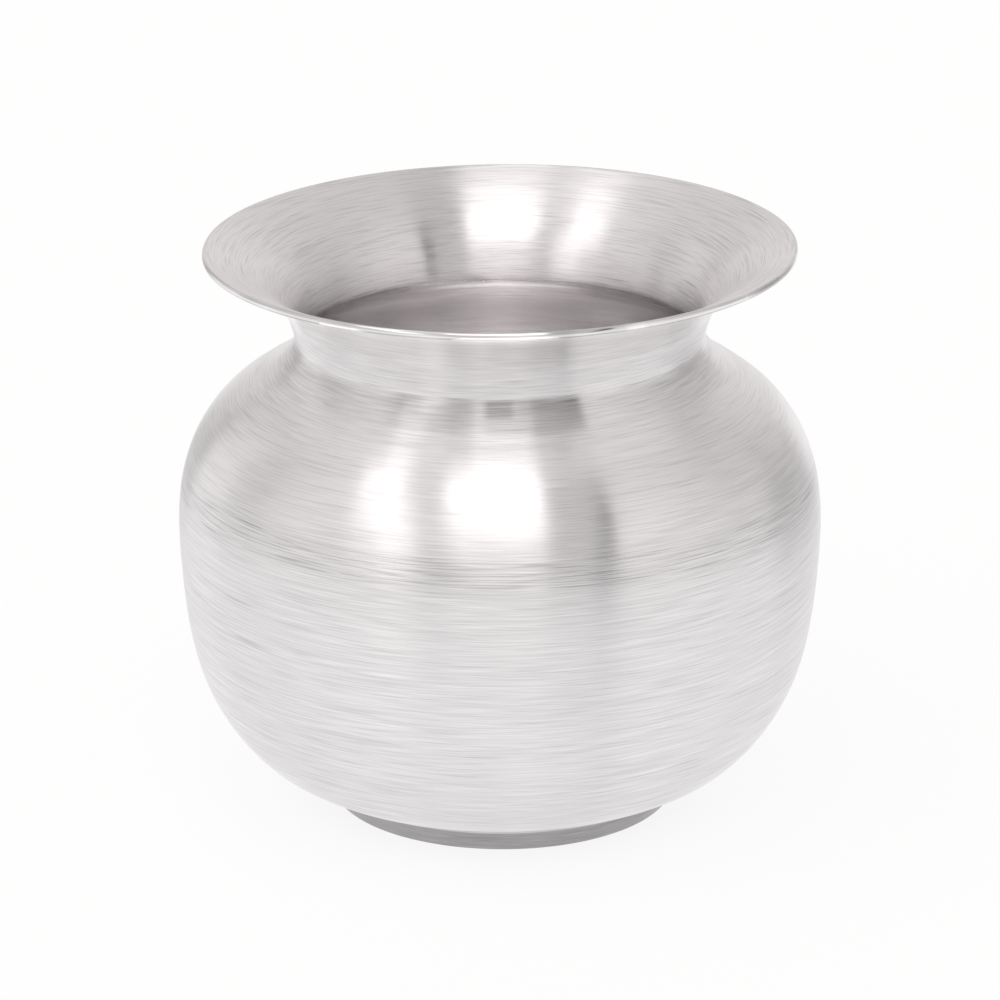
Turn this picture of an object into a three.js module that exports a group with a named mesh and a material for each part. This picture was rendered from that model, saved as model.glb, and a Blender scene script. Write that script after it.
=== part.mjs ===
// Lota: a round-bellied water pot with a short neck, a wide flared mouth and
// a low tapered foot ring, worked from brushed silver sheet.
// Four sheet pieces (bowl, shoulder, mouth with neck, foot ring) are joined by
// three solder seams. Every piece is a body of revolution about +Z.
// Millimetres, +Z up, origin on the axis in the plane the foot rests on.
import * as THREE from 'three';

// ---------------------------------------------------------------- dimensions
const SEGMENTS = 48;          // facets round the axis, the same on every piece
const SHEET = 0.6;            // wall of the bowl, the shoulder and the mouth
const LIP_HEIGHT = 0.77;      // planished lip, a little thicker than the sheet
const LIP_BULGE = 0.17;       // how far the lip stands out past the flare
const FOOT_WALL = 0.9;        // strip of the foot ring
const FOOT_REST_RADIUS = 29.39;
const FOOT_TOP_RADIUS = 32.68;
const FOOT_EDGE = 0.18;       // eased edges of the resting face

const BELLY_SEAM_Z = 57.6;    // lower edge of the shoulder, on the belly
const BELLY_LAP_TOP_Z = 61.4; // upper edge of the bowl, inside the shoulder
const BELLY_GROOVE = 0.6;     // seam groove left open for solder
const SOLDER_FILM = 0.1;      // solder between lapped sheets
const NECK_SEAM_Z = 82.04;    // crease where the neck meets the shoulder
const NECK_GROOVE = 0.28;
const NECK_BEAD = 0.05;       // solder standing proud of the crease

// outer outline from the middle of the bottom up to the neck crease: [radius, height]
const BODY_OUTLINE = [
  [0.00, 2.20], [10.30, 2.25], [20.60, 2.62], [27.45, 3.45], [32.68, 4.84],
  [37.71, 6.74], [41.36, 8.89], [44.59, 11.89], [47.21, 15.18], [49.39, 18.75],
  [51.17, 22.63], [52.43, 26.50], [53.33, 30.54], [53.94, 34.41], [54.36, 38.26],
  [54.69, 42.25], [54.91, 46.15], [55.00, 50.38], [54.78, 54.43], [54.06, 58.72],
  [52.75, 62.77], [51.53, 65.29], [49.37, 68.60], [46.56, 71.61], [43.13, 74.18],
  [40.31, 75.95], [38.08, 77.49], [36.54, 78.95], [35.51, 80.49], [35.00, 82.04],
];
// outer outline of the neck and the flare, from the crease to the lip
const MOUTH_OUTLINE = [
  [35.00, 82.04], [35.13, 83.41], [35.67, 85.23], [36.54, 87.35], [37.91, 89.67],
  [39.63, 91.73], [41.52, 93.27], [44.26, 94.99], [47.18, 96.28], [50.04, 97.44],
];

// ------------------------------------------------------------------- outlines
const spline = (points) => new THREE.CatmullRomCurve3(
  points.map(([r, z]) => new THREE.Vector3(r, z, 0)), false, 'centripetal');
const body = spline(BODY_OUTLINE);
const mouth = spline(MOUTH_OUTLINE);

// curve parameter at which the outline reaches a height, or a radius
function parameterAt(curve, axis, value, low = 0, high = 1) {
  let a = low, b = high;
  for (let i = 0; i < 60; i += 1) {
    const m = 0.5 * (a + b);
    if (curve.getPoint(m)[axis] < value) a = m; else b = m;
  }
  return 0.5 * (a + b);
}

// point at a distance inside the outline, square to it
function pointAt(curve, t, inward = 0) {
  const p = curve.getPoint(t), d = curve.getTangent(t);
  return [Math.max(p.x - inward * d.y, 0), p.y + inward * d.x];
}
const atHeight = (curve, z, inward = 0) => pointAt(curve, parameterAt(curve, 'y', z), inward);
const BELLY_T = parameterAt(body, 'y', 50);
const atRadius = (r, inward = 0) => pointAt(body, parameterAt(body, 'x', r, 0, BELLY_T), inward);

// --------------------------------------------------------------------- solids
function revolve(profile) {
  // the profile is a closed loop of [radius, height] or runs from axis to axis
  let area = 0;
  for (let i = 0; i < profile.length; i += 1) {
    const [r0, z0] = profile[i], [r1, z1] = profile[(i + 1) % profile.length];
    area += r0 * z1 - r1 * z0;
  }
  const loop = area > 0 ? profile.slice() : profile.slice().reverse();
  const [first, last] = [loop[0], loop[loop.length - 1]];
  const onAxis = Math.abs(first[0]) < 1e-9 && Math.abs(last[0]) < 1e-9;
  if (!onAxis) loop.push(first);
  const geometry = new THREE.LatheGeometry(
    loop.map(([r, z]) => new THREE.Vector2(r, z)), SEGMENTS);
  geometry.rotateX(Math.PI / 2);
  return geometry;
}

// heights shared by both sheets and the solder in the belly lap
const lapHeights = [58.7, 60.0, BELLY_LAP_TOP_Z];
const lapInward = SHEET + SOLDER_FILM;

// ---- foot ring: a straight tapered strip under the bowl
const footDirection = new THREE.Vector2(FOOT_TOP_RADIUS - FOOT_REST_RADIUS, 4.84).normalize();
const footOuter = (z) => [FOOT_REST_RADIUS + footDirection.x / footDirection.y * z, z];
const footInset = FOOT_WALL / footDirection.y;
const footInner = (z) => [footOuter(z)[0] - footInset, z];
const footFilletOut = footOuter(4.05);
const footFilletIn = footInner(3.75);
const footTopOut = footOuter(4.66);
const footTopIn = footInner(4.30);
// points of the bowl's underside that the solder wets
const wetOut = atRadius(33.55), wetIn = atRadius(30.45);

const footRing = revolve([
  [FOOT_REST_RADIUS - FOOT_EDGE * 0.6, 0], footOuter(FOOT_EDGE), footOuter(2.1), footFilletOut, footTopOut,
  footTopIn, footFilletIn, footInner(2.1), footInner(FOOT_EDGE),
  [FOOT_REST_RADIUS - footInset + FOOT_EDGE * 0.4, 0],
]);

const footSolder = revolve([
  wetOut,
  [32.82, 4.63], footFilletOut,
  footTopOut, footTopIn, footFilletIn,
  [30.72, 4.12], wetIn,
]);

// ---- bowl: bottom and lower belly, its edge joggled in to sit inside the shoulder
const bowlStations = [
  ...[0, 12, 22, 30.45].map((r) => [r]),
  [33.55], [37.7], [41.4], [44.6], [47.2], [49.4],
].map(([r]) => ({ out: atRadius(r), inn: atRadius(r, SHEET) }));
const bellyHeights = [22.6, 27.4, 33.5, 41.0, 49.0, 54.2];
for (const z of bellyHeights) {
  bowlStations.push({ out: atHeight(body, z), inn: atHeight(body, z, SHEET) });
}
const grooveLow = atHeight(body, BELLY_SEAM_Z - BELLY_GROOVE);
const lapOuter = lapHeights.map((z) => atHeight(body, z, lapInward));
const lapInner = lapHeights.map((z) => atHeight(body, z, lapInward + SHEET));
const joggleOut = atHeight(body, BELLY_SEAM_Z - 0.1, lapInward);
const joggleIn = [
  atHeight(body, BELLY_SEAM_Z - 1.15, SHEET),
  atHeight(body, BELLY_SEAM_Z - 0.35, lapInward + SHEET),
];
// the bottom is a disc of the same sheet, so the inner outline ends on the axis too
bowlStations[0].inn = [0, bowlStations[0].out[1] + SHEET];
const bowl = revolve([
  ...bowlStations.map((s) => s.out), grooveLow, joggleOut, ...lapOuter,
  ...lapInner.slice().reverse(), joggleIn[1], joggleIn[0],
  ...bowlStations.map((s) => s.inn).reverse(),
]);

// ---- shoulder: upper belly drawn in to an upright collar
const shoulderHeights = [
  BELLY_SEAM_Z, ...lapHeights, 64.4, 67.4, 70.2, 72.8, 75.0, 76.7, 78.2, 79.7,
  NECK_SEAM_Z - NECK_GROOVE / 2,
];
const shoulderOut = shoulderHeights.map((z) => atHeight(body, z));
const shoulderIn = shoulderHeights.map((z) => atHeight(body, z, SHEET));
const shoulder = revolve([...shoulderOut, ...shoulderIn.slice().reverse()]);

const bellySolder = revolve([
  shoulderOut[0], grooveLow, joggleOut, ...lapOuter,
  ...shoulderIn.slice(0, 1 + lapHeights.length).reverse(),
]);

// ---- mouth: short neck, wide flare and a rounded lip
const mouthHeights = [
  NECK_SEAM_Z + NECK_GROOVE / 2, 83.6, 85.4, 87.4, 89.4, 91.2, 92.7, 94.0, 95.2, 96.3,
];
const mouthOut = mouthHeights.map((z) => atHeight(mouth, z));
const mouthIn = mouthHeights.map((z) => atHeight(mouth, z, SHEET));
const [rimRadius, rimLow] = MOUTH_OUTLINE[MOUTH_OUTLINE.length - 1];
const lip = [
  [rimRadius, rimLow],
  [rimRadius + LIP_BULGE, rimLow + LIP_HEIGHT * 0.38],
  [rimRadius + LIP_BULGE * 0.75, rimLow + LIP_HEIGHT * 0.74],
  [rimRadius - 0.18, rimLow + LIP_HEIGHT],
  [rimRadius - 0.65, rimLow + LIP_HEIGHT * 0.86],
  [rimRadius - 1.30, rimLow + LIP_HEIGHT * 0.30 - 0.12],
];
const mouthNeck = revolve([...mouthOut, ...lip, ...mouthIn.slice().reverse()]);

const [collarOut, collarIn] = [shoulderOut[shoulderOut.length - 1], shoulderIn[shoulderIn.length - 1]];
const neckSolder = revolve([
  collarOut, [35.0 + NECK_BEAD, NECK_SEAM_Z], mouthOut[0],
  mouthIn[0], [35.0 - SHEET - NECK_BEAD, NECK_SEAM_Z], collarIn,
]);

// ------------------------------------------------------------------- assembly
const silver = (color, roughness) => new THREE.MeshStandardMaterial({ color, roughness, metalness: 1 });

function piece(name, geometry, material) {
  const mesh = new THREE.Mesh(geometry, material);
  mesh.name = name;
  return mesh;
}

const vessel = new THREE.Group();
vessel.add(
  piece('bowl', bowl, silver(0xdcd9d7, 0.34)),
  piece('shoulder', shoulder, silver(0xdcd9d7, 0.32)),
  piece('belly_seam_solder', bellySolder, silver(0xcfcccb, 0.42)),
);
const mouthGroup = new THREE.Group();
mouthGroup.add(
  piece('mouth_neck', mouthNeck, silver(0xdcd9d7, 0.30)),
  piece('neck_seam_solder', neckSolder, silver(0xd6d3d1, 0.38)),
);
const base = new THREE.Group();
base.add(
  piece('foot_ring', footRing, silver(0xcfcbc9, 0.36)),
  piece('foot_seam_solder', footSolder, silver(0xc8c5c3, 0.42)),
);

const lota = new THREE.Group();
lota.add(base, vessel, mouthGroup);

export default lota;
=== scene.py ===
import bpy, math
import numpy as np
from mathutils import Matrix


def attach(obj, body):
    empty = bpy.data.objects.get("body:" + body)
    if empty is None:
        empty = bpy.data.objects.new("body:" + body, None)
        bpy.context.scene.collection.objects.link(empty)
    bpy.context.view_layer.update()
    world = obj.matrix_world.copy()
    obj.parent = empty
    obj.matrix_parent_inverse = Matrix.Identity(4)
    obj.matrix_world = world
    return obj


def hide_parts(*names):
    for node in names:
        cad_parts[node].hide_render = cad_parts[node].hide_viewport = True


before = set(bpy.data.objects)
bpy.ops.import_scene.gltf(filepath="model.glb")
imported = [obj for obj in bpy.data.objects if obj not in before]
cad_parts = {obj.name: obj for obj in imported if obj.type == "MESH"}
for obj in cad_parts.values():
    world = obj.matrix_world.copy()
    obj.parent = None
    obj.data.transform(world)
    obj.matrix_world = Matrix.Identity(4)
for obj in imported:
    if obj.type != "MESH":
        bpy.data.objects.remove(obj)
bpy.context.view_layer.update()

MM = 0.001

# ------------------------------------------------------------------ outlines
# [radius, height] in millimetres, on the outside of the metal
BODY_OUTLINE = [
    (0.00, 2.20), (10.30, 2.25), (20.60, 2.62), (27.45, 3.45), (32.68, 4.84),
    (37.71, 6.74), (41.36, 8.89), (44.59, 11.89), (47.21, 15.18), (49.39, 18.75),
    (51.17, 22.63), (52.43, 26.50), (53.33, 30.54), (53.94, 34.41), (54.36, 38.26),
    (54.69, 42.25), (54.91, 46.15), (55.00, 50.38), (54.78, 54.43), (54.06, 58.72),
    (52.75, 62.77), (51.53, 65.29), (49.37, 68.60), (46.56, 71.61), (43.13, 74.18),
    (41.60, 75.15), (40.10, 76.10), (38.80, 77.05), (37.60, 78.10), (36.60, 79.17),
    (35.70, 80.22), (34.98, 81.18), (34.74, 82.04),
]
MOUTH_OUTLINE = [
    (34.74, 82.04), (34.93, 83.30), (35.42, 85.25), (36.24, 87.48), (37.67, 89.82),
    (39.49, 91.86), (41.47, 93.33), (44.26, 94.94), (47.20, 96.09), (50.08, 97.12),
]
SHEET = 0.6
SOLDER_FILM = 0.1
BELLY_SEAM_Z, BELLY_LAP_TOP_Z, BELLY_GROOVE = 57.6, 61.4, 0.6
NECK_SEAM_Z, NECK_GROOVE = 82.04, 0.28
FOOT_REST_RADIUS, FOOT_TOP_RADIUS, FOOT_WALL = 29.39, 32.68, 0.9

SEGMENTS = 320
FINE = 1.0


class Outline:
    """A smooth curve through the points, sampled densely, addressed by height, radius or length."""

    def __init__(self, points, start=0.0):
        p = np.array(points, float)
        p = np.vstack([2 * p[0] - p[1], p, 2 * p[-1] - p[-2]])
        out = []
        for i in range(1, len(p) - 2):
            p0, p1, p2, p3 = p[i - 1:i + 3]
            t0 = 0.0
            t1 = t0 + np.linalg.norm(p1 - p0) ** 0.5
            t2 = t1 + np.linalg.norm(p2 - p1) ** 0.5
            t3 = t2 + np.linalg.norm(p3 - p2) ** 0.5
            for t in np.linspace(t1, t2, 40, endpoint=False):
                a1 = (t1 - t) / (t1 - t0) * p0 + (t - t0) / (t1 - t0) * p1
                a2 = (t2 - t) / (t2 - t1) * p1 + (t - t1) / (t2 - t1) * p2
                a3 = (t3 - t) / (t3 - t2) * p2 + (t - t2) / (t3 - t2) * p3
                b1 = (t2 - t) / (t2 - t0) * a1 + (t - t0) / (t2 - t0) * a2
                b2 = (t3 - t) / (t3 - t1) * a2 + (t - t1) / (t3 - t1) * a3
                out.append((t2 - t) / (t2 - t1) * b1 + (t - t1) / (t2 - t1) * b2)
        out.append(p[-2])
        self.p = np.array(out)
        # light smoothing takes out the last unevenness of the traced points
        q = self.p.copy()
        for _ in range(60):
            q[1:-1] = 0.25 * q[:-2] + 0.5 * q[1:-1] + 0.25 * q[2:]
        self.p = q
        step = np.hypot(*np.diff(self.p, axis=0).T)
        self.s = start + np.concatenate([[0], np.cumsum(step)])
        d = np.gradient(self.p, self.s, axis=0)
        d /= np.linalg.norm(d, axis=1)[:, None]
        self.n = np.stack([d[:, 1], -d[:, 0]], 1)

    def at(self, s, inward=0.0):
        r = np.interp(s, self.s, self.p[:, 0]) - inward * np.interp(s, self.s, self.n[:, 0])
        z = np.interp(s, self.s, self.p[:, 1]) - inward * np.interp(s, self.s, self.n[:, 1])
        return max(float(r), 0.0), float(z)

    def normal(self, s):
        return float(np.interp(s, self.s, self.n[:, 0])), float(np.interp(s, self.s, self.n[:, 1]))

    def s_of_z(self, z):
        return float(np.interp(z, self.p[:, 1], self.s))

    def s_of_r(self, r):
        k = int(np.argmax(self.p[:, 0]))
        return float(np.interp(r, self.p[:k + 1, 0], self.s[:k + 1]))


body = Outline(BODY_OUTLINE)
mouth = Outline(MOUTH_OUTLINE, body.s[-1])

# --------------------------------------------------- the hand-worked surface
rng = np.random.default_rng(7)


def waves(count, shortest, longest, slope, turns):
    """Ripples left by turning and scraping: nearly rings, drifting a little round the pot."""
    lam = np.exp(rng.uniform(math.log(shortest), math.log(longest), count))
    amp = slope * lam / (2 * math.pi) / math.sqrt(count) * rng.uniform(0.6, 1.4, count)
    return lam, amp, rng.uniform(0, 2 * math.pi, count), rng.integers(-turns, turns + 1, count), \
        rng.integers(1, 6, count), rng.uniform(0, 2 * math.pi, count)


TURNED = waves(46, 1.6, 9.0, 0.017, 1)
SCRAPED = waves(26, 0.45, 1.1, 0.068, 1)
INSIDE = waves(30, 2.2, 10.0, 0.020, 1)


def ripple(wave, s, phi):
    lam, amp, phase, turns, beats, shift = wave
    out = np.zeros_like(phi)
    for i in range(len(lam)):
        swell = 0.65 + 0.35 * np.sin(beats[i] * phi + shift[i])
        out += amp[i] * swell * np.sin(2 * math.pi * s / lam[i] + phase[i] + turns[i] * phi)
    return out


HOLLOWS = [(rng.integers(2, 9), rng.uniform(14, 34), rng.uniform(0, 6.28), rng.uniform(0, 6.28), rng.uniform(0.4, 1.0))
           for _ in range(14)]


def planished(s, phi):
    """Very shallow unevenness from raising the sheet by hand, in millimetres."""
    out = np.zeros_like(phi)
    for m, lam, a, b, w in HOLLOWS:
        out += w * np.sin(m * phi + a + 0.8 * math.sin(2 * math.pi * s / (lam * 2.3))) * math.sin(2 * math.pi * s / lam + b)
    return 0.0095 * out


def smooth(x, a, b):
    t = min(max((x - a) / (b - a), 0.0), 1.0)
    return t * t * (3 - 2 * t)


def outer_relief(s, z, r, phi):
    fade = smooth(r, 6.0, 20.0) * (0.55 + 0.45 * smooth(z, 30.0, 56.0))
    d = fade * (ripple(TURNED, s, phi) + planished(s, phi))
    # the seam of the two belly halves was dressed with a scraper, which left a coarser band
    band = math.exp(-((z - 58.3) / 1.9) ** 4)
    if band > 0.01:
        d = d + band * (0.75 + 0.25 * np.sin(3 * phi + 1.1)) * ripple(SCRAPED, s, phi)
    return d


def inner_relief(s, r, phi):
    return smooth(r, 6.0, 20.0) * (ripple(INSIDE, s, phi) + planished(s, phi))


MOUTH_TILT = 0.0094     # the mouth was soldered on a little out of level
FOOT_SHIFT = 0.46       # and the foot a little off the axis, in millimetres


def settle(x, y, z):
    """Small errors of assembly: applied the same way to every piece, so nothing parts at the seams."""
    up = np.clip((z - 72.0) / 12.0, 0, 1)
    up = up * up * (3 - 2 * up)
    z = z + MOUTH_TILT * x * up
    down = np.clip((7.0 - z) / 5.0, 0, 1)
    x = x + FOOT_SHIFT * down * np.clip(np.hypot(x, y) / 25.0, 0, 1)
    return x, y, z


# ------------------------------------------------------------------- meshes
def spaced(a, b, step):
    n = max(int(math.ceil(abs(b - a) / (step * FINE))), 1)
    return list(np.linspace(a, b, n + 1))


INNER_FACES = {}          # which faces of a piece are on its inside


def lathe(name, rings, body_name="root"):
    """rings: closed loop, or axis to axis, of (radius, height, length along outline, kind, normal)."""
    area = 0.0
    for i in range(len(rings)):
        a, b = rings[i], rings[(i + 1) % len(rings)]
        area += a[0] * b[1] - b[0] * a[1]
    if area < 0:
        rings = rings[::-1]
    phi = np.linspace(0, 2 * math.pi, SEGMENTS, endpoint=False)
    c, sn = np.cos(phi), np.sin(phi)
    verts, arc, starts = [], [], []
    length, lengths = 0.0, []
    for i, (r, z, s, kind, nrm) in enumerate(rings):
        if i:
            length += math.hypot(r - rings[i - 1][0], z - rings[i - 1][1])
        lengths.append(length)
        starts.append(len(verts))
        if r < 1e-6:
            verts.append((0.0, 0.0, z))
            arc.append(s)
            continue
        d = np.zeros(SEGMENTS)
        if kind == "out":
            d = outer_relief(s, z, r, phi)
        elif kind == "in":
            d = -inner_relief(s, r, phi)
        rr, zz = r + d * nrm[0], z + d * nrm[1]
        x, y, w = settle(rr * c, rr * sn, zz)
        verts.extend(zip(x, y, w))
        arc.extend([s] * SEGMENTS)
    faces, uvs, inside = [], [], []
    total = max(length, 1e-6)
    closed = rings[0][0] > 1e-6
    count = len(rings) if closed else len(rings) - 1
    for i in range(count):
        j = (i + 1) % len(rings)
        a, b = starts[i], starts[j]
        pa, pb = rings[i][0] < 1e-6, rings[j][0] < 1e-6
        va, vb = lengths[i] / total, (lengths[j] / total if j else 1.0)
        for k in range(SEGMENTS):
            m = (k + 1) % SEGMENTS
            u0, u1 = k / SEGMENTS, (k + 1) / SEGMENTS
            if pa and pb:
                continue
            if pa:
                faces.append((a, b + m, b + k)); uvs += [((u0 + u1) / 2, va), (u1, vb), (u0, vb)]
            elif pb:
                faces.append((a + k, a + m, b)); uvs += [(u0, va), (u1, va), ((u0 + u1) / 2, vb)]
            else:
                faces.append((a + k, a + m, b + m, b + k)); uvs += [(u0, va), (u1, va), (u1, vb), (u0, vb)]
            inside.append(1 if rings[i][3] == "in" and rings[j][3] == "in" else 0)
    mesh = bpy.data.meshes.new(name)
    mesh.from_pydata([(x * MM, y * MM, z * MM) for x, y, z in verts], [], faces)
    layer = mesh.uv_layers.new(name="OFBake")
    layer.data.foreach_set("uv", np.array(uvs, dtype=np.float32).ravel())
    att = mesh.attributes.new("arc", "FLOAT", "POINT")
    att.data.foreach_set("value", np.array(arc, dtype=np.float32))
    mesh.polygons.foreach_set("use_smooth", [True] * len(mesh.polygons))
    mesh.update()
    mesh.set_sharp_from_angle(angle=math.radians(40))
    obj = bpy.data.objects.new(name, mesh)
    bpy.context.scene.collection.objects.link(obj)
    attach(obj, body_name)
    INNER_FACES[name] = inside
    return obj


def run(outline, a, b, step, inward=0.0, kind="out"):
    out = []
    for s in spaced(a, b, step):
        r, z = outline.at(s, inward)
        out.append((r, z, s, kind, outline.normal(s)))
    return out


def edge(points, s, kind="edge"):
    return [(r, z, s, kind, (0.0, 0.0)) for r, z in points]


s_seam = body.s_of_z(BELLY_SEAM_Z)
s_groove = body.s_of_z(BELLY_SEAM_Z - BELLY_GROOVE)
s_lap = body.s_of_z(BELLY_LAP_TOP_Z)
s_lap0 = body.s_of_z(BELLY_SEAM_Z - 0.1)
s_band = body.s_of_z(55.2)
s_top = body.s_of_z(NECK_SEAM_Z - NECK_GROOVE / 2)
s_wet_in, s_wet_out = body.s_of_r(30.45), body.s_of_r(33.55)
lap = SHEET + SOLDER_FILM

# bowl: bottom and lower belly, the edge joggled in and lapped inside the shoulder
bowl_rings = (
    run(body, 0.0, s_wet_in, 1.1)
    + run(body, s_wet_in, s_wet_out, 0.6)[1:]
    + run(body, s_wet_out, s_band, 0.42)[1:]
    + run(body, s_band, s_groove, 0.13)[1:]
    + run(body, s_lap0, s_lap, 0.8, lap, "edge")
    + run(body, s_lap, body.s_of_z(BELLY_SEAM_Z - 0.35), 0.7, lap + SHEET, "in")
    + run(body, body.s_of_z(BELLY_SEAM_Z - 1.15), 34.0, 1.1, SHEET, "in")
    + run(body, 34.0, 0.0, 1.4, SHEET, "in")[1:]
)
r_last, z_last, s_last, k_last, n_last = bowl_rings[-1]
bowl_rings[-1] = (0.0, body.at(0.0)[1] + SHEET, 0.0, "in", n_last)
bowl = lathe("bowl_sheet", bowl_rings)
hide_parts("bowl")

# shoulder: upper belly drawn in to the collar
shoulder_rings = (
    run(body, s_seam, body.s_of_z(61.2), 0.13)
    + run(body, body.s_of_z(61.2), s_top, 0.36)[1:]
    + run(body, s_top, s_seam, 0.8, SHEET, "in")
)
shoulder = lathe("shoulder_sheet", shoulder_rings)
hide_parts("shoulder")

# mouth: neck, flare and the rounded lip
s_neck = mouth.s_of_z(NECK_SEAM_Z + NECK_GROOVE / 2)
s_rim = mouth.s[-1]
rim_r, rim_z = mouth.at(s_rim)
lip = [(rim_r + a, rim_z + b) for a, b in (
    (0.02, 0.01), (0.11, 0.09), (0.17, 0.23), (0.195, 0.42), (0.19, 0.61), (0.14, 0.80), (0.04, 0.965),
    (-0.10, 1.06), (-0.25, 1.088), (-0.42, 1.055), (-0.64, 0.975))]


def thicker(s):
    """The sheet grows thicker over the last 8 mm up to the lip."""
    return SHEET + 0.48 * smooth(s, s_rim - 9.0, s_rim - 0.9)


flare_inside = []
for s in spaced(s_rim - 0.9, s_neck, 0.42):
    flare_inside.append((*mouth.at(s, thicker(s)), s, "in", mouth.normal(s)))
mouth_rings = (
    run(mouth, s_neck, s_rim - 0.05, 0.36)
    + edge(lip[:9], s_rim + 0.3)
    + edge(lip[9:], s_rim - 0.5, "in")
    + flare_inside
)
mouth_neck = lathe("mouth_neck_sheet", mouth_rings)
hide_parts("mouth_neck")

# foot ring: straight tapered strip with eased edges
lean = ((FOOT_TOP_RADIUS - FOOT_REST_RADIUS) / 4.84)
wide = FOOT_WALL * math.hypot(lean, 1.0)


def foot_out(z):
    return FOOT_REST_RADIUS + lean * z, z


def foot_in(z):
    return FOOT_REST_RADIUS + lean * z - wide, z


foot_pts = [(FOOT_REST_RADIUS - 0.16, 0.0), (FOOT_REST_RADIUS - 0.05, 0.03), (FOOT_REST_RADIUS + 0.03, 0.10)]
foot_pts += [foot_out(z) for z in np.linspace(0.22, 4.66, 26)]
foot_pts += [foot_in(z) for z in np.linspace(4.30, 0.25, 12)]
foot_pts += [(foot_in(0.12)[0] + 0.02, 0.10), (foot_in(0.0)[0] + 0.10, 0.03), (foot_in(0.0)[0] + 0.22, 0.0)]
s_foot, prev = 400.0, foot_pts[0]
foot_rings = []
for p in foot_pts:
    s_foot += math.hypot(p[0] - prev[0], p[1] - prev[1])
    foot_rings.append((p[0], p[1], s_foot, "edge", (0.0, 0.0)))
    prev = p
foot = lathe("foot_ring_strip", foot_rings)
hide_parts("foot_ring")

# solder: belly lap, neck crease and foot fillet
belly_solder = lathe("belly_seam_line", (
    run(body, s_seam, s_groove, 0.1)
    + run(body, s_lap0, s_lap, 0.8, lap, "edge")
    + run(body, s_lap, s_seam, 0.8, SHEET, "edge")
))
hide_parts("belly_seam_solder")

top_out, top_in = body.at(s_top), body.at(s_top, SHEET)
neck_out, neck_in = mouth.at(s_neck), mouth.at(s_neck, SHEET)
bead = [(top_out[0] + t * (neck_out[0] - top_out[0]) + 0.22 * t * (1 - t), top_out[1] + t * (neck_out[1] - top_out[1]))
        for t in (0.0, 0.2, 0.4, 0.6, 0.8, 1.0)]
middle = ((neck_in[0] + top_in[0]) / 2, (neck_in[1] + top_in[1]) / 2)
bead_rings = [(r, z, s_top + 0.04 * i, "edge", (0.0, 0.0)) for i, (r, z) in enumerate(bead)]
bead_rings += [(r, z, s_neck - 0.1 * i, "in", mouth.normal(s_neck)) for i, (r, z) in enumerate((neck_in, middle, top_in))]
neck_solder = lathe("neck_seam_bead", bead_rings)
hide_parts("neck_seam_solder")

wet_out, wet_in = body.at(s_wet_out), body.at(s_wet_in)
fillet = [wet_out, (33.20, 4.93), (32.93, 4.72), (32.72, 4.50), (32.55, 4.30), foot_out(4.05), foot_out(4.3), foot_out(4.66),
          foot_in(4.30), foot_in(3.75), (30.80, 3.95), (30.66, 4.08), wet_in]
fillet += [body.at(s) for s in np.linspace(s_wet_in, s_wet_out, 5)[1:-1]]
foot_solder = lathe("foot_seam_fillet", [(r, z, 380 + 0.3 * i, "edge", (0.0, 0.0)) for i, (r, z) in enumerate(fillet)])
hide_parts("foot_seam_solder")

# ---------------------------------------------------------- writing node trees
class Shade:
    """A value in a node tree, so that shader maths can be written as plain expressions."""

    def __init__(self, tree, socket):
        self.tree, self.socket = tree, socket

    def _math(self, op, other=None, third=None, flip=False):
        node = self.tree.nodes.new("ShaderNodeMath")
        node.operation = op
        args = [self] + [x for x in (other, third) if x is not None]
        if flip:
            args[0], args[1] = args[1], args[0]
        for i, a in enumerate(args):
            if isinstance(a, Shade):
                self.tree.links.new(a.socket, node.inputs[i])
            else:
                node.inputs[i].default_value = a
        return Shade(self.tree, node.outputs[0])

    def __add__(self, o): return self._math("ADD", o)
    def __radd__(self, o): return self._math("ADD", o)
    def __sub__(self, o): return self._math("SUBTRACT", o)
    def __rsub__(self, o): return self._math("SUBTRACT", o, flip=True)
    def __mul__(self, o): return self._math("MULTIPLY", o)
    def __rmul__(self, o): return self._math("MULTIPLY", o)
    def __truediv__(self, o): return self._math("DIVIDE", o)
    def clamp(self): return self._math("MINIMUM", 1.0)._math("MAXIMUM", 0.0)
    def abs(self): return self._math("ABSOLUTE")
    def power(self, o): return self._math("POWER", o)
    def minimum(self, o): return self._math("MINIMUM", o)
    def maximum(self, o): return self._math("MAXIMUM", o)
    def sin(self): return self._math("SINE")
    def atan2(self, o): return self._math("ARCTAN2", o)
    def degrees(self): return self._math("DEGREES")
    def asin(self): return self._math("ARCSINE")

    def above(self, limit, soft):
        """0 below the limit, 1 above it, with a smooth step as wide as soft."""
        t = (self - limit) / soft + 0.5
        node = self.tree.nodes.new("ShaderNodeMapRange")
        node.interpolation_type = "SMOOTHSTEP"
        self.tree.links.new(t.socket, node.inputs["Value"])
        return Shade(self.tree, node.outputs["Result"])

    def below(self, limit, soft):
        return 1.0 - self.above(limit, soft)

    def between(self, a, b, soft, soft_b=None):
        return self.above(a, soft) * self.below(b, soft_b or soft)

    def curve(self, low, high, points):
        """A smooth curve through listed points: points are (input, output) with inputs between low and high."""
        node = self.tree.nodes.new("ShaderNodeFloatCurve")
        t = ((self - low) / (high - low)).clamp()
        self.tree.links.new(t.socket, node.inputs["Value"])
        lo = min(y for _, y in points)
        hi = max(y for _, y in points)
        span = max(hi - lo, 1e-6)
        c = node.mapping.curves[0]
        pts = [((x - low) / (high - low), (y - lo) / span) for x, y in points]
        c.points[0].location = pts[0]
        c.points[1].location = pts[-1]
        for p in pts[1:-1]:
            c.points.new(*p)
        for p in c.points:
            p.handle_type = "AUTO_CLAMPED"
        node.mapping.update()
        return Shade(self.tree, node.outputs["Value"]) * span + lo


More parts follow.
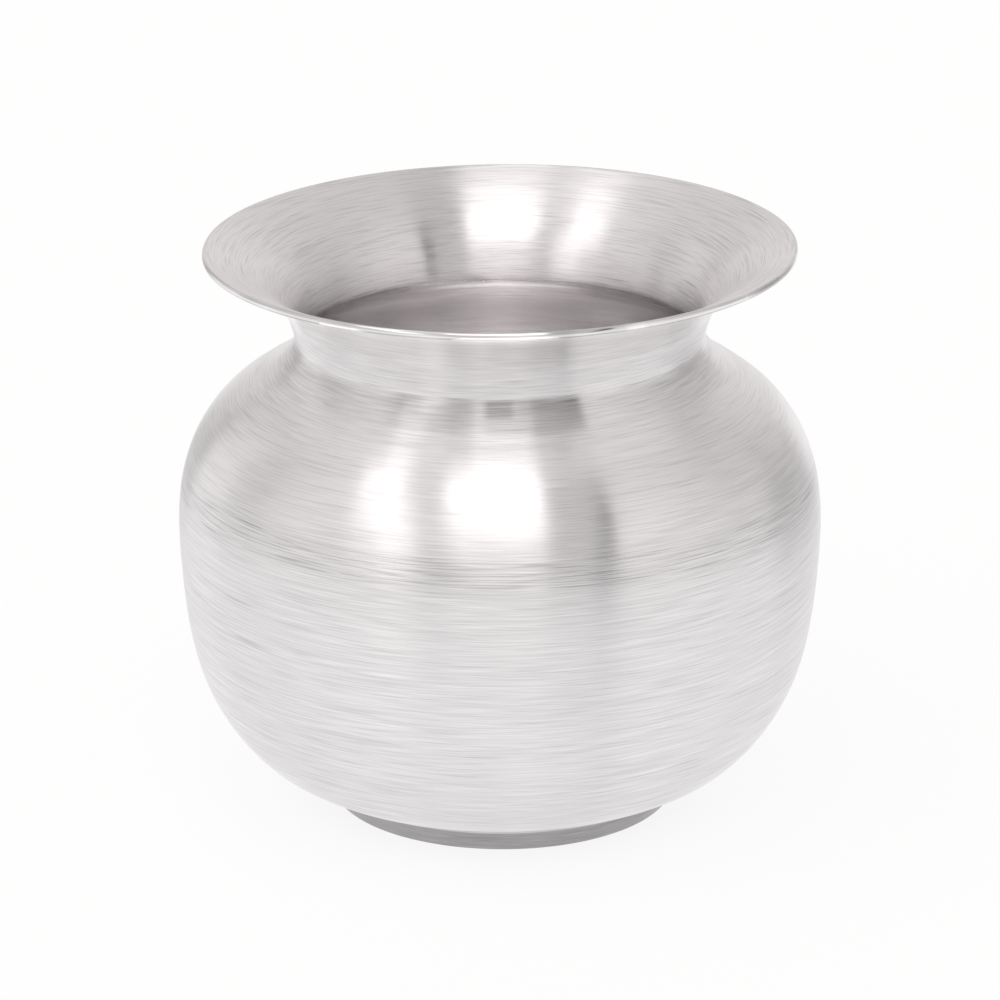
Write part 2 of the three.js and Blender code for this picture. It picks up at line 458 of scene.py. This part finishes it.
def blend(a, b, factor):
    """a where the factor is 0, b where it is 1."""
    return factor * (b - a) + a


# ---------------------------------------------------------------------- studio
def studio():
    """Soft white studio: a long softbox from the front up over the object, a strip light on the left,
    a dark flag on the right, pale walls, all written as soft-edged bands of direction."""
    world = bpy.data.worlds.new("studio")
    bpy.context.scene.world = world
    world.use_nodes = True
    tree = world.node_tree
    tree.nodes.clear()
    coord = tree.nodes.new("ShaderNodeTexCoord")
    split = tree.nodes.new("ShaderNodeSeparateXYZ")
    tree.links.new(coord.outputs["Generated"], split.inputs[0])
    x, y, z = (Shade(tree, split.outputs[i]) for i in range(3))
    roll = z.atan2(0.0 - y).degrees()            # 0 in front, 90 overhead, 180 behind
    az = x.atan2(0.0 - y).degrees()              # 0 in front, positive to the right
    el = z.asin().degrees()

    # Everything hangs in straight rows that run from the front up over the object and away behind it,
    # so each row keeps its angle around one slanting axis.
    ahead = y * -0.8 + z * 0.6
    row = x.atan2(ahead).degrees()               # 0 straight ahead, positive to the right

    # pale walls
    right_wall = az.curve(0, 180, [(0, .66), (40, .80), (54, .85), (66, .80), (78, .73), (92, .66), (106, .57), (114, .62),
                                   (124, .54), (138, .62), (148, .69), (180, .74)])
    left_wall = (0.0 - az).curve(0, 180, [(0, .66), (44, .74), (60, .76), (90, .72), (104, .56), (114, .55),
                                          (120, .74), (138, .73), (146, .50), (152, .64), (180, .74)])
    side = x.above(0.0, 0.05)
    wall = blend(left_wall, right_wall, side)
    wall = blend(wall, blend(0.80, 0.61, side), el.above(50, 30))
    wall = blend(wall, 0.92, el.below(-14, 26))
    wall = wall * (1.0 - az.between(112, 146, 16) * el.below(7, 14) * 0.42)

    # long softbox, front to overhead and on behind
    near = roll.between(-12, 132, 24, 16)
    edge_a, edge_b, edge_c, edge_d = (roll.curve(-20, 140, [(-20, a), (40, a), (66, b), (140, b)])
                                      for a, b in ((15.8, 13.4), (-14.9, -17.8), (-28.8, -32.0), (-42.5, -46.8)))
    box = (row - edge_b).above(0.0, 2.2) * (row - edge_a).below(0.0, 1.8) * near
    level = roll.curve(-20, 140, [(-20, .66), (0, .69), (12, .75), (22, .84), (32, .99), (42, 1.28), (56, 1.7),
                                  (72, 1.9), (84, 1.6), (95, 1.0), (112, .88), (140, .88)])
    light = blend(wall, level, box)

    # darker gap, then a strip light beside it on the left
    gap = (row - edge_c).above(-0.5, 2.4) * (row - edge_b).below(0.0, 2.2) * near
    light = blend(light, roll.curve(-20, 140, [(-20, .66), (20, .66), (56, .72), (90, .76), (140, .76)]), gap)
    strip = (row - edge_d).above(0.0, 3.0) * (row - edge_c).below(0.0, 2.4) * roll.between(11, 122, 24, 18)
    light = blend(light, 1.45, strip)

    # dark flag on the right, narrower towards the back
    flag_end = roll.curve(-20, 140, [(-20, 42.0), (18, 41.3), (34, 39.4), (50, 36.8), (66, 33.6), (84, 31), (100, 29), (140, 25)])
    flag = (row - edge_a).above(0.0, 1.8) * row.below(flag_end, 1.6) * roll.between(-12, 126, 18, 22)
    tone = roll.curve(-20, 140, [(-20, .56), (50, .55), (90, .50), (140, .50)])
    tone = blend(tone, 0.02, (row / flag_end).above(.88, .16) * roll.between(-12, 60, 20, 24))
    light = blend(light, tone, flag)

    white = tree.nodes.new("ShaderNodeBackground")
    white.inputs["Color"].default_value = (0.99, 0.99, 0.99, 1)
    lit = tree.nodes.new("ShaderNodeBackground")
    lit.inputs["Color"].default_value = (1.0, 0.974, 0.960, 1)
    tree.links.new(light.socket, lit.inputs["Strength"])
    path = tree.nodes.new("ShaderNodeLightPath")
    mix = tree.nodes.new("ShaderNodeMixShader")
    out = tree.nodes.new("ShaderNodeOutputWorld")
    tree.links.new(path.outputs["Is Camera Ray"], mix.inputs[0])
    tree.links.new(lit.outputs[0], mix.inputs[1])
    tree.links.new(white.outputs[0], mix.inputs[2])
    tree.links.new(mix.outputs[0], out.inputs[0])


studio()


def floor():
    rings, n = [0.0, 0.02, 0.05, 0.1, 0.2, 0.5, 1.0, 2.5, 6.0], 64
    verts, faces = [(0.0, 0.0, -0.00002)], []
    for r in rings[1:]:
        verts += [(r * math.cos(2 * math.pi * k / n), r * math.sin(2 * math.pi * k / n), -0.00002) for k in range(n)]
    for k in range(n):
        faces.append((0, 1 + k, 1 + (k + 1) % n))
    for i in range(len(rings) - 2):
        a, b = 1 + i * n, 1 + (i + 1) * n
        for k in range(n):
            faces.append((a + k, b + k, b + (k + 1) % n, a + (k + 1) % n))
    mesh = bpy.data.meshes.new("floor")
    mesh.from_pydata(verts, [], faces)
    obj = bpy.data.objects.new("floor", mesh)
    bpy.context.scene.collection.objects.link(obj)
    mat = bpy.data.materials.new("pale_floor")
    mat.use_nodes = True
    tree = mat.node_tree
    tree.nodes.clear()
    coord = tree.nodes.new("ShaderNodeTexCoord")
    split = tree.nodes.new("ShaderNodeSeparateXYZ")
    tree.links.new(coord.outputs["Object"], split.inputs[0])
    x, y = (Shade(tree, split.outputs[i]) for i in range(2))
    far = (x * x + y * y).power(0.5)
    az = x.atan2(0.0 - y).degrees()
    seen = 1.0 - az.between(106, 146, 20) * far.above(0.28, 0.24) * 0.54
    seen = seen * (1.0 - az.between(-160, -138, 14) * far.above(0.30, 0.2) * 0.54)
    seen = seen * (1.0 - az.between(-42, 42, 24) * far.above(0.42, 0.24) * 0.22)
    paper = tree.nodes.new("ShaderNodeBsdfDiffuse")
    paper.inputs["Color"].default_value = (0.16, 0.16, 0.16, 1)
    add = tree.nodes.new("ShaderNodeAddShader")
    out = tree.nodes.new("ShaderNodeOutputMaterial")
    path = tree.nodes.new("ShaderNodeLightPath")
    which = tree.nodes.new("ShaderNodeMixShader")
    for slot, colour, strength in ((2, (1.0, 1.0, 1.0, 1), 0.86), (1, (1.0, 0.998, 1.002, 1), seen * 0.875)):
        glow = tree.nodes.new("ShaderNodeEmission")
        glow.inputs["Color"].default_value = colour
        if isinstance(strength, Shade):
            tree.links.new(strength.socket, glow.inputs["Strength"])
        else:
            glow.inputs["Strength"].default_value = strength
        tree.links.new(glow.outputs[0], which.inputs[slot])
    tree.links.new(path.outputs["Is Camera Ray"], which.inputs[0])
    tree.links.new(paper.outputs[0], add.inputs[0])
    tree.links.new(which.outputs[0], add.inputs[1])
    tree.links.new(add.outputs[0], out.inputs[0])
    mesh.materials.append(mat)
    return obj


floor()


def card(name, place, size, turn, radiance):
    """A small card of light lying just under the mouth and facing up: the shoulder sees it in the flare."""
    lamp = bpy.data.lights.new(name, "AREA")
    lamp.shape = "RECTANGLE"
    lamp.size, lamp.size_y = size[0] * MM, size[1] * MM
    lamp.color = (1.0, 0.974, 0.960)
    lamp.energy = radiance * math.pi * lamp.size * lamp.size_y
    obj = bpy.data.objects.new(name, lamp)
    obj.location = (place[0] * MM, place[1] * MM, 90.0 * MM)
    obj.rotation_euler = (math.pi, 0.0, math.radians(turn))
    obj.visible_camera = False
    bpy.context.scene.collection.objects.link(obj)


card("card_front", (1.3, -55.0), (20.5, 15.0), 0.0, 0.95)
card("card_left", (-33.0, -44.5), (10.0, 14.0), -58.0, 0.95)


# ---------------------------------------------------------------------- metal
def brushed(name, tone, rough, streak, warm=0.015, seam=True, marks=1.0, least=0.278, throat_painted_shade=0.0):
    """Silver brushed round and round: fine lines, longer soft lines and a few scratches, all following the turning."""
    mat = bpy.data.materials.new(name)
    mat.use_nodes = True
    tree = mat.node_tree
    tree.nodes.clear()
    links = tree.links
    geo = tree.nodes.new("ShaderNodeTexCoord")
    split = tree.nodes.new("ShaderNodeSeparateXYZ")
    links.new(geo.outputs["Object"], split.inputs[0])
    x, y, z = (Shade(tree, split.outputs[i]) for i in range(3))
    radius = (x * x + y * y).power(0.5).maximum(1e-5)
    c, s = x / radius, y / radius
    att = tree.nodes.new("ShaderNodeAttribute")
    att.attribute_name = "arc"
    arc = Shade(tree, att.outputs["Fac"])

    def lines(length, width, seed, detail=2.0, tilt=0.0, rise=0.6):
        """Noise drawn out along the turning: about length mm long and width mm wide."""
        comb = tree.nodes.new("ShaderNodeCombineXYZ")
        turn = 50.0 / length
        links.new((c * turn).socket, comb.inputs[0])
        links.new((s * turn).socket, comb.inputs[1])
        v = arc * (1.0 / width) + seed
        if tilt:
            v = v + c * (tilt / width) + s * (0.7 * tilt / width)
        links.new(v.socket, comb.inputs[2])
        noise = tree.nodes.new("ShaderNodeTexNoise")
        noise.noise_dimensions = "3D"
        noise.inputs["Scale"].default_value = 1.0
        noise.inputs["Detail"].default_value = detail
        noise.inputs["Roughness"].default_value = rise
        links.new(comb.outputs[0], noise.inputs["Vector"])
        return Shade(tree, noise.outputs["Fac"]) - 0.5

    fine = lines(7.0, 0.15, 3.1, 0.0, 0.8)
    fine2 = lines(12.0, 0.24, 51.7, 0.0, -1.1)
    medium = lines(30.0, 0.55, 17.7, 1.0, 0.5)
    broad = lines(80.0, 4.2, 41.3, 1.0)
    cloud = lines(24.0, 8.0, 63.9, 2.0)
    dark_scratch = lines(22.0, 0.22, 91.5, 0.0, 1.4).above(0.235, 0.05)
    light_scratch = lines(17.0, 0.20, 27.5, 0.0, -1.7).above(0.225, 0.05)

    mix = fine * 1.1 + fine2 * 1.1 + medium * 0.40 + broad * 0.16
    extra, lip_burnished_and_shaded = None, None
    zmm = z * 1000.0
    if throat_painted_shade:
        # painted shade inside the neck joint: a darker band that dims the highlight there
        tone = tone - zmm.between(79.0, 82.4, 1.4, 0.5) * throat_painted_shade
    # seam also turns on the painted light and shade in the tone below: by height, in the neck crease and at the lip
    if seam:
        band = zmm.between(55.8, 60.8, 1.8, 1.4)       # dressed seam: coarser lines
        coarse = lines(9.0, 0.18, 129.3, 0.3, 0.3)
        mix = mix + band * coarse * 1.1
        extra = band * (coarse.below(-0.12, 0.10) * 0.12 + 0.01)
        # painted light and shade by height: darker next to the foot where shade falls, lighter over the shoulder and up
        # the flare, a little darker again at the crease of the neck
        tone = zmm.curve(0, 100, [(0, -.16), (5.2, -.16), (8.6, 0), (57, 0), (61, .05), (68, .14), (73, .13), (77.5, .12), (80, .09), (82, .04),
                                  (84.5, .03), (87.5, .08), (92, .14), (100, .165)]) + tone
        # painted shade in the crease of the neck: a darker band all round, with darker patches on the front, most of
        # them to one side
        front = s.below(0.0, 0.2)
        crease_painted_shade = front * (c.between(-0.08, 0.375, 0.08, 0.05) * 0.19 + c.between(-0.50, -0.10, 0.10) * 0.13)
        crease_shade_spots = front * (c.between(-0.07, 0.06, 0.05) * 0.17 + c.between(0.08, 0.37, 0.06) * 0.05
                        + c.between(-0.47, -0.36, 0.05) * 0.06)
        tone = tone - zmm.between(77.3, 82.0, 1.3, 1.2) * (crease_painted_shade + 0.05) - zmm.between(79.3, 81.8, 1.0, 0.8) * crease_shade_spots
        # the lip was burnished smooth, with lower roughness; its top is also painted darker as shade
        level = zmm - x * (1000.0 * MOUTH_TILT)
        lip_burnished_and_shaded = level.above(97.02, 0.14)
        tone = tone - lip_burnished_and_shaded * 0.13
        # and a fine line of painted shade under it
        tone = tone - level.between(96.55, 97.38, 0.25, 0.2) * 0.25
        # one long light scratch across the belly
        extra = extra - (zmm - 39.1).abs().below(0.06, 0.07) * s.below(-0.983, 0.006) * 0.12
    value = tone + mix * (0.17 * streak) + cloud * 0.05 - dark_scratch * (0.07 * marks) + light_scratch * (0.08 * marks)
    if extra is not None:
        value = value - extra
    value = value.minimum(0.985).maximum(0.05)
    colour = tree.nodes.new("ShaderNodeCombineColor")
    links.new(value.socket, colour.inputs[0])
    links.new((value - warm).socket, colour.inputs[1])
    links.new((value - warm * 0.7).socket, colour.inputs[2])

    rough_value = (mix * (0.06 * streak) + cloud * 0.02 + rough).minimum(0.6).maximum(least)
    if lip_burnished_and_shaded is not None:
        rough_value = rough_value - lip_burnished_and_shaded * 0.135
    height = fine * 0.0030 + fine2 * 0.0050 + medium * 0.0090 - dark_scratch * 0.003 + light_scratch * 0.002
    if seam:
        height = height + band * coarse * 0.030
    bump = tree.nodes.new("ShaderNodeBump")
    bump.inputs["Strength"].default_value = 1.0
    bump.inputs["Distance"].default_value = 0.001
    links.new((height * streak).socket, bump.inputs["Height"])

    tangent = tree.nodes.new("ShaderNodeTangent")
    tangent.direction_type = "RADIAL"
    tangent.axis = "Z"
    bsdf = tree.nodes.new("ShaderNodeBsdfPrincipled")
    bsdf.inputs["Metallic"].default_value = 1.0
    bsdf.inputs["Anisotropic"].default_value = 1.0
    bsdf.inputs["Anisotropic Rotation"].default_value = 0.25
    links.new(colour.outputs[0], bsdf.inputs["Base Color"])
    links.new(rough_value.socket, bsdf.inputs["Roughness"])
    links.new(bump.outputs[0], bsdf.inputs["Normal"])
    links.new(tangent.outputs[0], bsdf.inputs["Tangent"])
    out = tree.nodes.new("ShaderNodeOutputMaterial")
    links.new(bsdf.outputs[0], out.inputs[0])
    return mat


def dress(piece, outside, inside=None):
    piece.data.materials.clear()
    piece.data.materials.append(outside)
    piece.data.materials.append(inside or outside)
    piece.data.polygons.foreach_set("material_index", INNER_FACES[piece.name])
    piece.data.update()


outer_silver = brushed("silver_sheet_brushed", 0.80, 0.285, 1.4)
# painted light: the inside and deep silver are lighter copies of the sheet, to brighten the inside of the pot; the deep
# copy also carries painted shade inside the neck joint
inner_silver_painted_light = brushed("silver_sheet_inside_painted_light", 0.95, 0.285, 2.2, seam=False)
deep_silver_painted_light = brushed("silver_sheet_deep_painted_light", 0.94, 0.18, 1.2, seam=False, least=0.10, throat_painted_shade=0.18)
# painted shade: the foot's silver is much darker than the sheet, standing in for the shaded floor it reflects
foot_silver_painted_shade = brushed("silver_foot_brushed_painted_shade", 0.385, 0.29, 0.9, seam=False)
solder_silver = brushed("silver_solder_dressed", 0.80, 0.285, 1.25)
for piece in (bowl, shoulder):
    dress(piece, outer_silver, deep_silver_painted_light)
dress(mouth_neck, outer_silver, inner_silver_painted_light)
dress(foot, foot_silver_painted_shade)
dress(neck_solder, solder_silver, inner_silver_painted_light)
for piece in (belly_solder, foot_solder):
    dress(piece, solder_silver)

# --------------------------------------------------------------------- camera
ELEVATION, DISTANCE, LENS = 19.3, 0.9264, 194.4
TARGET = (0.0, 0.0, 0.05253)
cam = bpy.data.cameras.new("camera")
cam.lens = LENS
cam.sensor_width = 36.0
cam.clip_start = 0.01
cam.clip_end = 30.0
eye = bpy.data.objects.new("camera", cam)
bpy.context.scene.collection.objects.link(eye)
e = math.radians(ELEVATION)
eye.location = (TARGET[0], TARGET[1] - DISTANCE * math.cos(e), TARGET[2] + DISTANCE * math.sin(e))
eye.rotation_euler = (math.pi / 2 - e, 0.0, 0.0)
bpy.context.scene.camera = eye

paths = bpy.context.scene.cycles      # light finds its way round the inside of the pot
paths.max_bounces = 16
paths.glossy_bounces = 12

view = bpy.context.scene.view_settings
view.view_transform = "Standard"
view.look = "None"
view.exposure = 0.0
view.gamma = 1.0
